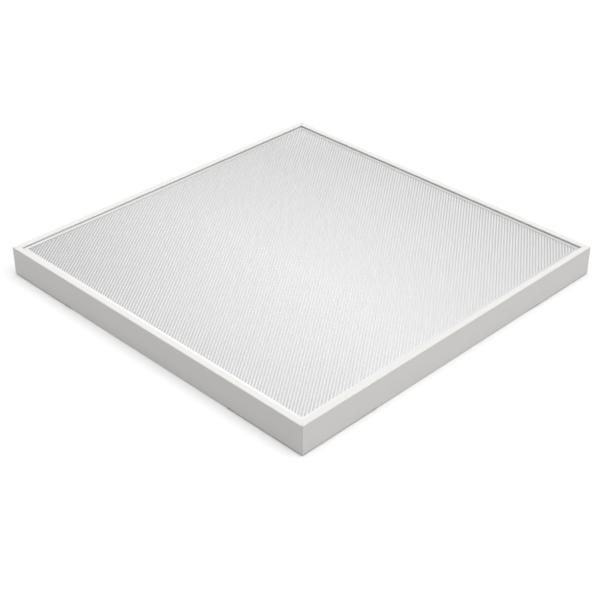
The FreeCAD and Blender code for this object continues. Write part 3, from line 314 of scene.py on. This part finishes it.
@dataclass(frozen=True)
class PrismaticSheetWithPaintedShade:
    """Clear prismatic polystyrene that shows the opal sheet behind it, so it reads as a glossy milky white.

    Its colour is painted darker towards the housing, as painted shade. A facet that leans away from the brightest
    place is also painted darker than its neighbour, as painted facet shading; that draws fine stripes, which grow
    away from the middle.

    Attributes:
        name: the material's plain name.
        middle: its sRGB colour at the brightest place, a painted pool of light.
        edge: its sRGB colour near the housing, painted darker as the housing's shade.
        brightest: the place of the middle colour, the centre of the painted light, as a share of the half side
            along X and Y. It lies off the sheet, so the painted shade darkens the whole sheet towards the far
            corner.
        fade_from: where the middle colour starts to fade, as a share of the half side.
        fade_to: where the edge colour is reached.
        facet_shade_growth: how strongly a leaning facet is painted darker or lighter, as painted facet shading,
            from one edge to the other along X and Y.
        facet_shade_middle: the same in the middle of the sheet.
        whitest: the most light that any facet sends back.
        roughness: the roughness of its moulded facets.
        ior: that of polystyrene.
    """

    name: str = "prismatic polystyrene over opal"
    middle: str = "#FBFBFB"
    edge: str = "#D6D6D6"
    brightest: tuple[float, float] = (0.30, -1.20)
    fade_from: float = 0.50
    fade_to: float = 2.20
    facet_shade_growth: tuple[float, float] = (0.12, 0.74)
    facet_shade_middle: float = -0.25
    whitest: float = 1.0
    roughness: float = 0.34
    ior: float = 1.59

    def shade(self, tree: bpy.types.NodeTree, flat: bpy.types.NodeSocket) -> bpy.types.NodeSocket:
        """The painted light and shade: the opal sheet's colour, painted darker towards the housing.

        Args:
            tree: the material's node tree.
            flat: the place on the sheet, as a share of the half side.

        Returns:
            The colour socket.
        """
        # Painted shade: the colour darkens with the distance from the brightest place.
        away = add_node(tree, "ShaderNodeVectorMath", {1: (*self.brightest, 0)}, {0: flat},
                        operation="DISTANCE")
        fade = add_node(tree, "ShaderNodeMapRange", {"From Min": self.fade_from, "From Max": self.fade_to},
                        {"Value": away.outputs["Value"]})
        return mix_colours(tree, fade.outputs["Result"], linear(self.middle), linear(self.edge))

    def paint_facet_shade(self, tree: bpy.types.NodeTree, flat: bpy.types.NodeSocket, lean: bpy.types.NodeSocket,
                across: Vector) -> bpy.types.NodeSocket:
        """The painted facet shading: how much lighter or darker a facet is painted by the way that it leans.

        Args:
            tree: the material's node tree.
            flat: the place on the sheet, as a share of the half side.
            lean: the facet's normal.
            across: the direction across the wide grooves.

        Returns:
            The factor socket, 1 for a level facet.
        """
        tilt = add_node(tree, "ShaderNodeVectorMath", {1: across}, {0: lean}, operation="DOT_PRODUCT")
        grown = add_node(tree, "ShaderNodeVectorMath", {1: (*self.facet_shade_growth, 0)}, {0: flat},
                         operation="DOT_PRODUCT")
        strength = add_node(tree, "ShaderNodeMath", {1: self.facet_shade_middle}, {0: grown.outputs["Value"]},
                            operation="ADD")
        factor = add_node(tree, "ShaderNodeMath", {2: 1.0},
                          {0: tilt.outputs["Value"], 1: strength.outputs["Value"]}, operation="MULTIPLY_ADD")
        return factor.outputs["Value"]

    def build(self, half: float, across: Vector) -> bpy.types.Material:
        """Makes the material.

        Args:
            half: half the sheet's side.
            across: the direction across the wide grooves.

        Returns:
            The material.
        """
        material, tree, shader = new_material(self.name)
        shader.inputs["Roughness"].default_value = self.roughness
        shader.inputs["IOR"].default_value = self.ior
        place = add_node(tree, "ShaderNodeTexCoord")
        flat = add_node(tree, "ShaderNodeMapping", {"Scale": (1 / half, 1 / half, 0)},
                        {"Vector": place.outputs["Object"]}).outputs["Vector"]
        # Painted facet shading: each facet's painted colour is scaled by its lean, over the painted shade.
        factor = self.paint_facet_shade(tree, flat, place.outputs["Normal"], across)
        facet_shaded = add_node(tree, "ShaderNodeVectorMath", operation="SCALE",
                        links={0: self.shade(tree, flat), "Scale": factor})
        kept = add_node(tree, "ShaderNodeVectorMath", {1: (self.whitest,) * 3}, {0: facet_shaded.outputs["Vector"]},
                        operation="MINIMUM")
        tree.links.new(kept.outputs["Vector"], shader.inputs["Base Color"])
        return material


@dataclass(frozen=True)
class EarthInsulationFinish:
    """Green PVC insulation with the yellow stripes of an earth lead, wound round it as it was extruded.

    Attributes:
        name: the material's plain name.
        green: its sRGB ground colour.
        yellow: its sRGB stripe colour.
        stripe_mm: the distance from stripe to stripe.
        stripe_edge: the heights of the stripes' wave, from 0 to 1, where the yellow starts and is full.
        roughness: the roughness of the extruded surface.
    """

    name: str = "green and yellow PVC insulation"
    green: str = "#2F7A2C"
    yellow: str = "#E2C81E"
    stripe_mm: float = 5.0
    stripe_edge: tuple[float, float] = (0.62, 0.68)
    roughness: float = 0.38

    def build(self) -> bpy.types.Material:
        """Makes the material."""
        material, tree, shader = new_material(self.name)
        shader.inputs["Roughness"].default_value = self.roughness
        place = add_node(tree, "ShaderNodeTexCoord").outputs["Object"]
        bands = add_node(tree, "ShaderNodeTexWave", {"Scale": 1 / (2 * self.stripe_mm * MM)}, {"Vector": place},
                         wave_type="BANDS", bands_direction="DIAGONAL")
        start, full = self.stripe_edge
        edge = add_node(tree, "ShaderNodeMapRange", {"From Min": start, "From Max": full},
                        {"Value": bands.outputs["Fac"]})
        striped = mix_colours(tree, edge.outputs["Result"], linear(self.green), linear(self.yellow))
        tree.links.new(striped, shader.inputs["Base Color"])
        return material


def dress(node: str, material: bpy.types.Material) -> None:
    """Gives one frame node its material.

    Args:
        node: the node's name.
        material: what it is made of.
    """
    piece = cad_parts[node]
    if not piece.material_slots:
        piece.data.materials.append(material)
    for slot in piece.material_slots:
        slot.material = material


def finished_piece(name: str, mesh: bmesh.types.BMesh, material: bpy.types.Material, body: str) -> bpy.types.Object:
    """Turns a mesh into a piece that rides on a body.

    Args:
        name: the piece's name.
        mesh: its shape in place, which is freed.
        material: what it is made of.
        body: the body it moves with.

    Returns:
        The new object.
    """
    data = bpy.data.meshes.new(name)
    mesh.to_mesh(data)
    mesh.free()
    data.materials.append(material)
    piece = bpy.data.objects.new(name, data)
    bpy.context.scene.collection.objects.link(piece)
    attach(piece, body)
    LOG.info("%s: %d faces on %s", name, len(data.polygons), body)
    return piece


# ---------------------------------------------------------------- the fitting's parts


@dataclass
class PrismaticDiffuser:
    """The prismatic sheet: wide V grooves, crossed by steeper ones, leave rows of small hipped roofs.

    Attributes:
        pitch: the distance from groove to groove, in both sets.
        groove_slant: how far each set's direction across its grooves turns from X.
        groove_depth: how deep the grooves are below the sheet's upper face.
        steepness: how much steeper the crossing grooves are than the wide ones.
        margin: the plain strip between the sheet's edge and the grooves.
        ridge_weld: how near to each other the corners of a ridge become one.
        rim_weld: the same for the finished sheet.
        on_plane: how near to a trimming plane a point counts as on it.
        sheet_and_painted_shade: what the sheet is made of, with the shade and the facet shading painted into its
            colour.
    """

    pitch: float = 4.2 * MM
    groove_slant: float = math.radians(36.4)
    groove_depth: float = 1.1 * MM
    steepness: float = 3.0
    margin: float = 8.3 * MM
    ridge_weld: float = 4.2e-6
    rim_weld: float = 1e-6
    on_plane: float = 1e-7
    sheet_and_painted_shade: PrismaticSheetWithPaintedShade = field(default_factory=PrismaticSheetWithPaintedShade)

    def roofs(self, half: float, top: float) -> bmesh.types.BMesh:
        """The field of small roofs, trimmed square.

        Args:
            half: half the field's side.
            top: the height of the roofs' ridges.

        Returns:
            The open field.
        """
        across, along = math.cos(self.groove_slant), math.sin(self.groove_slant)
        rows = math.ceil(2 * half * (across + along) / self.pitch)
        mesh = bmesh.new()
        bmesh.ops.create_grid(mesh, x_segments=rows, y_segments=rows, size=rows * self.pitch / 2)
        bmesh.ops.scale(mesh, vec=Vector((1, self.steepness, 1)), verts=mesh.verts[:])
        bmesh.ops.inset_individual(mesh, faces=mesh.faces[:], thickness=self.pitch / 2,
                                   depth=self.groove_depth, use_even_offset=True)
        bmesh.ops.remove_doubles(mesh, verts=mesh.verts[:], dist=self.ridge_weld)
        skew = Matrix(((0.5 / across, -0.5 / across, 0, 0), (0.5 / along, 0.5 / along, 0, 0),
                       (0, 0, 1, top - self.groove_depth), (0, 0, 0, 1)))
        bmesh.ops.transform(mesh, matrix=skew @ Matrix.Diagonal((1, 1 / self.steepness, 1, 1)),
                            verts=mesh.verts[:])
        for outward in (Vector((1, 0, 0)), Vector((0, 1, 0)), Vector((-1, 0, 0)), Vector((0, -1, 0))):
            bmesh.ops.bisect_plane(mesh, geom=mesh.verts[:] + mesh.edges[:] + mesh.faces[:],
                                   dist=self.on_plane, plane_co=outward * half, plane_no=outward,
                                   clear_outer=True)
        return mesh

    def extrude_rim(self, mesh: bmesh.types.BMesh, scale: Vector, level: float) -> None:
        """Extrudes the open rim, and brings its new edge to a level or widens it.

        Args:
            mesh: the open sheet.
            scale: the new edge's scale about the middle of that level.
            level: the level that stays where it is.
        """
        rim = [edge for edge in mesh.edges if edge.is_boundary]
        grown = bmesh.ops.extrude_edge_only(mesh, edges=rim)["geom"]
        new = [item for item in grown if isinstance(item, bmesh.types.BMVert)]
        bmesh.ops.scale(mesh, vec=scale, space=Matrix.Translation((0, 0, -level)), verts=new)

    def build(self) -> None:
        """Builds the sheet in place of the plain plate."""
        low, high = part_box("diffuser_plate")
        half, bottom, top = high[0], low[2], high[2]
        field_half = half - self.margin
        mesh = self.roofs(field_half, top)
        wider = half / field_half
        self.extrude_rim(mesh, Vector((1, 1, 0)), top)
        self.extrude_rim(mesh, Vector((wider, wider, 1)), top)
        self.extrude_rim(mesh, Vector((1, 1, 0)), bottom)
        bmesh.ops.holes_fill(mesh, edges=[edge for edge in mesh.edges if edge.is_boundary], sides=0)
        bmesh.ops.remove_doubles(mesh, verts=mesh.verts[:], dist=self.rim_weld)
        bmesh.ops.recalc_face_normals(mesh, faces=mesh.faces[:])
        across = Vector((math.cos(self.groove_slant), math.sin(self.groove_slant), 0))
        material = self.sheet_and_painted_shade.build(half, across)
        sheet = finished_piece("prismatic_sheet", mesh, material, "diffuser")
        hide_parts("diffuser_plate")


@dataclass
class Housing:
    """The folded steel housing: frame walls, tray, reflectors and what fastens them.

    Attributes:
        corners: how many corner brackets and grid clips it has.
    """

    corners: int = 4

    def dress(self) -> None:
        """Gives each housing part its coat or plate."""
        for side in SIDES:
            dress(f"frame_wall_{side}", POWDER_COAT.build())
            dress(f"side_reflector_{side}", REFLECTOR_PAINT.build())
        for corner in range(1, self.corners + 1):
            dress(f"corner_bracket_{corner}", ZINC_PLATE.build())
            dress(f"grid_clip_{corner}", SPRING_STEEL.build())
        for name in ("back_pan", "driver_cover"):
            dress(name, COIL_COAT.build())
        for name in ("frame_nuts", "clip_rivets", "reflector_rivets", "cover_screws", "hanging_nuts"):
            dress(name, ZINC_PLATE.build())
        dress("frame_screws", SCREW_LACQUER.build())
        dress("cable_grommet", RUBBER.build())
        dress("diffusion_sheet", OPAL_SHEET.build())
        LOG.info("housing dressed")


@dataclass
class LightStrips:
    """The light sources: boards, emitters, lenses and the parts that hold and join them.

    Attributes:
        count: how many strips there are.
    """

    count: int = 4

    def dress(self) -> None:
        """Gives each light source part its material."""
        board = Finish("white solder mask on aluminium", "#EFEFEC", 0.32, grain_mm=0.8, relief_mm=0.004,
                       tone=0.02, patch_mm=10, coat=0.2)
        for strip in range(1, self.count + 1):
            dress(f"led_strip_{strip}", board.build())
            dress(f"led_lenses_{strip}", LENS_ACRYLIC.build())
        dress("led_chips", PHOSPHOR.build())
        dress("strip_connectors", NYLON.build())
        dress("strip_rivets", NYLON.build())
        LOG.info("light strips dressed")


@dataclass
class ControlGear:
    """The driver, the supply terminals, the earth stud and the leads between them.

    Attributes:
        poles: how many levers the terminal block has.
    """

    poles: int = 3

    def dress(self) -> None:
        """Gives each part of the gear its material."""
        dress("driver_base", POLYCARBONATE.build())
        dress("driver_lid", POLYCARBONATE.build())
        dress("driver_board", GREEN_LAMINATE.build())
        dress("driver_transformer", FERRITE.build())
        dress("driver_capacitors", SHRINK_SLEEVE.build())
        for name in ("driver_lid_screws", "driver_mount_screws", "earth_stud", "earth_nut"):
            dress(name, ZINC_PLATE.build())
        dress("terminal_block", GREY_POLYAMIDE.build())
        for pole in range(1, self.poles + 1):
            dress(f"terminal_lever_{pole}", ORANGE_POLYAMIDE.build())
        dress("terminal_contacts", TINNED_BRASS.build())
        dress("earth_tag", TINNED_BRASS.build())
        LOG.info("control gear dressed")

    def dress_leads(self) -> None:
        """Gives each lead its insulation."""
        dress("led_leads", RED_PVC.build())
        dress("strip_jumpers", RED_PVC.build())
        dress("supply_leads", BROWN_PVC.build())
        dress("earth_lead", EarthInsulationFinish().build())
        LOG.info("leads dressed")


# ---------------------------------------------------------------- the studio


@dataclass
class Studio:
    """A white floor, soft light from above and from the right, and the camera at the photograph's place.

    Attributes:
        floor_side: the floor's side.
        floor_glow: what the floor adds for the camera, so that it is a full white away from the shadows.
        floor_bounce: the sRGB colour that the floor throws back onto the object.
        floor_rise: how far the floor stands above the tray's back, so that light from below reaches it.
        opening_side: the side of the floor's opening under the tray, which lets that light into the beads.
        sky: the strength of the even light from all round.
        lamps: each lamp's name, strength, azimuth from +X and height in degrees, and softness in degrees.
        camera_place: where the camera stands.
        camera_target: the point in the middle of its view.
        camera_roll: how far it is turned about its view, in degrees.
        lens_mm: its focal length on a 36 mm square sensor.
    """

    floor_side: float = 12.0
    floor_glow: float = 0.04
    floor_bounce: str = "#B8B8B8"
    floor_rise: float = 0.05 * MM
    opening_side: float = 540 * MM
    sky: float = 0.36
    lamps: tuple[tuple[str, float, float, float, float], ...] = (
        ("overhead lamp", 1.70, 0.0, 88.0, 60.0),
        ("right lamp", 0.50, 20.0, 42.0, 50.0),
    )
    camera_place: Vector = field(default_factory=lambda: Vector((1.2000, -1.2049, 1.0551)))
    camera_target: Vector = field(default_factory=lambda: Vector((0.0115, -0.0150, -0.0340)))
    camera_roll: float = -0.024
    lens_mm: float = 81.48

    def seen(self, tree: bpy.types.NodeTree) -> bpy.types.NodeSocket:
        """One where a camera, mirror or glass ray looks, and zero for light that bounces.

        Args:
            tree: the node tree to add to.

        Returns:
            The factor socket.
        """
        path = add_node(tree, "ShaderNodeLightPath")
        pair = add_node(tree, "ShaderNodeMath", operation="MAXIMUM",
                        links={0: path.outputs["Is Camera Ray"], 1: path.outputs["Is Glossy Ray"]})
        every = add_node(tree, "ShaderNodeMath", operation="MAXIMUM",
                         links={0: pair.outputs["Value"], 1: path.outputs["Is Transmission Ray"]})
        return every.outputs["Value"]

    def floor_material(self) -> bpy.types.Material:
        """A matte white that keeps the object's shadow, and is clear from below."""
        material, tree, shader = new_material("matte white floor")
        tree.nodes.remove(shader)
        seen = self.seen(tree)
        tint = mix_colours(tree, seen, linear(self.floor_bounce), linear(WHITE))
        matte = add_node(tree, "ShaderNodeBsdfDiffuse", links={"Color": tint})
        glow = add_node(tree, "ShaderNodeMath", {1: self.floor_glow}, {0: seen}, operation="MULTIPLY")
        light = add_node(tree, "ShaderNodeEmission", links={"Strength": glow.outputs["Value"]})
        both = add_node(tree, "ShaderNodeAddShader",
                        links={0: matte.outputs["BSDF"], 1: light.outputs["Emission"]})
        below = add_node(tree, "ShaderNodeNewGeometry").outputs["Backfacing"]
        clear = add_node(tree, "ShaderNodeBsdfTransparent")
        sided = add_node(tree, "ShaderNodeMixShader",
                         links={0: below, 1: both.outputs["Shader"], 2: clear.outputs["BSDF"]})
        tree.links.new(sided.outputs["Shader"], tree.nodes["Material Output"].inputs["Surface"])
        return material

    def build_floor(self) -> None:
        """Lays the floor, with its opening under the tray."""
        mesh = bmesh.new()
        bmesh.ops.create_grid(mesh, x_segments=1, y_segments=1, size=self.floor_side / 2)
        under = mesh.faces[:]
        bmesh.ops.inset_individual(mesh, faces=under, thickness=(self.floor_side - self.opening_side) / 2,
                                   use_even_offset=True)
        bmesh.ops.delete(mesh, geom=under, context="FACES")
        data = bpy.data.meshes.new("studio_floor")
        mesh.to_mesh(data)
        mesh.free()
        data.materials.append(self.floor_material())
        floor = bpy.data.objects.new("studio_floor", data)
        floor.location.z = self.floor_rise
        bpy.context.scene.collection.objects.link(floor)

    def build_sky(self) -> None:
        """Lights the scene evenly from all round, with white behind everything."""
        world = bpy.data.worlds.new("studio")
        world.use_nodes = True
        tree = world.node_tree
        shade = add_node(tree, "ShaderNodeMapRange", {"To Min": self.sky, "To Max": 1.0},
                         {"Value": self.seen(tree)})
        background = tree.nodes["Background"]
        background.inputs["Color"].default_value = linear(WHITE)
        tree.links.new(shade.outputs["Result"], background.inputs["Strength"])
        bpy.context.scene.world = world

    def build_lamps(self) -> None:
        """Hangs the lamps, which are suns with a wide soft disc."""
        for name, strength, azimuth, height, softness in self.lamps:
            lamp = bpy.data.lights.new(name, "SUN")
            lamp.energy = strength
            lamp.angle = math.radians(softness)
            holder = bpy.data.objects.new(name, lamp)
            bpy.context.scene.collection.objects.link(holder)
            turn, rise = math.radians(azimuth), math.radians(height)
            towards = Vector((math.cos(rise) * math.cos(turn), math.cos(rise) * math.sin(turn), math.sin(rise)))
            holder.rotation_euler = towards.to_track_quat("Z", "Y").to_euler()

    def build_camera(self) -> None:
        """Puts the camera at the photograph's place."""
        data = bpy.data.cameras.new("camera")
        data.lens = self.lens_mm
        camera = bpy.data.objects.new("camera", data)
        camera.location = self.camera_place
        aim = (self.camera_place - self.camera_target).to_track_quat("Z", "Y").to_matrix()
        camera.rotation_euler = (aim @ Matrix.Rotation(math.radians(self.camera_roll), 3, "Z")).to_euler()
        bpy.context.scene.collection.objects.link(camera)
        bpy.context.scene.camera = camera

    def build(self) -> None:
        """Builds the whole studio."""
        bpy.context.scene.view_settings.view_transform = "Standard"
        self.build_camera()
        self.build_floor()
        self.build_sky()
        self.build_lamps()
        LOG.info("studio built")


def main() -> None:
    """Builds and dresses every part."""
    logging.basicConfig(level=logging.INFO)
    Studio().build()
    PrismaticDiffuser().build()
    Housing().dress()
    LightStrips().dress()
    gear = ControlGear()
    gear.dress()
    gear.dress_leads()


if __name__ == "__main__":
    main()
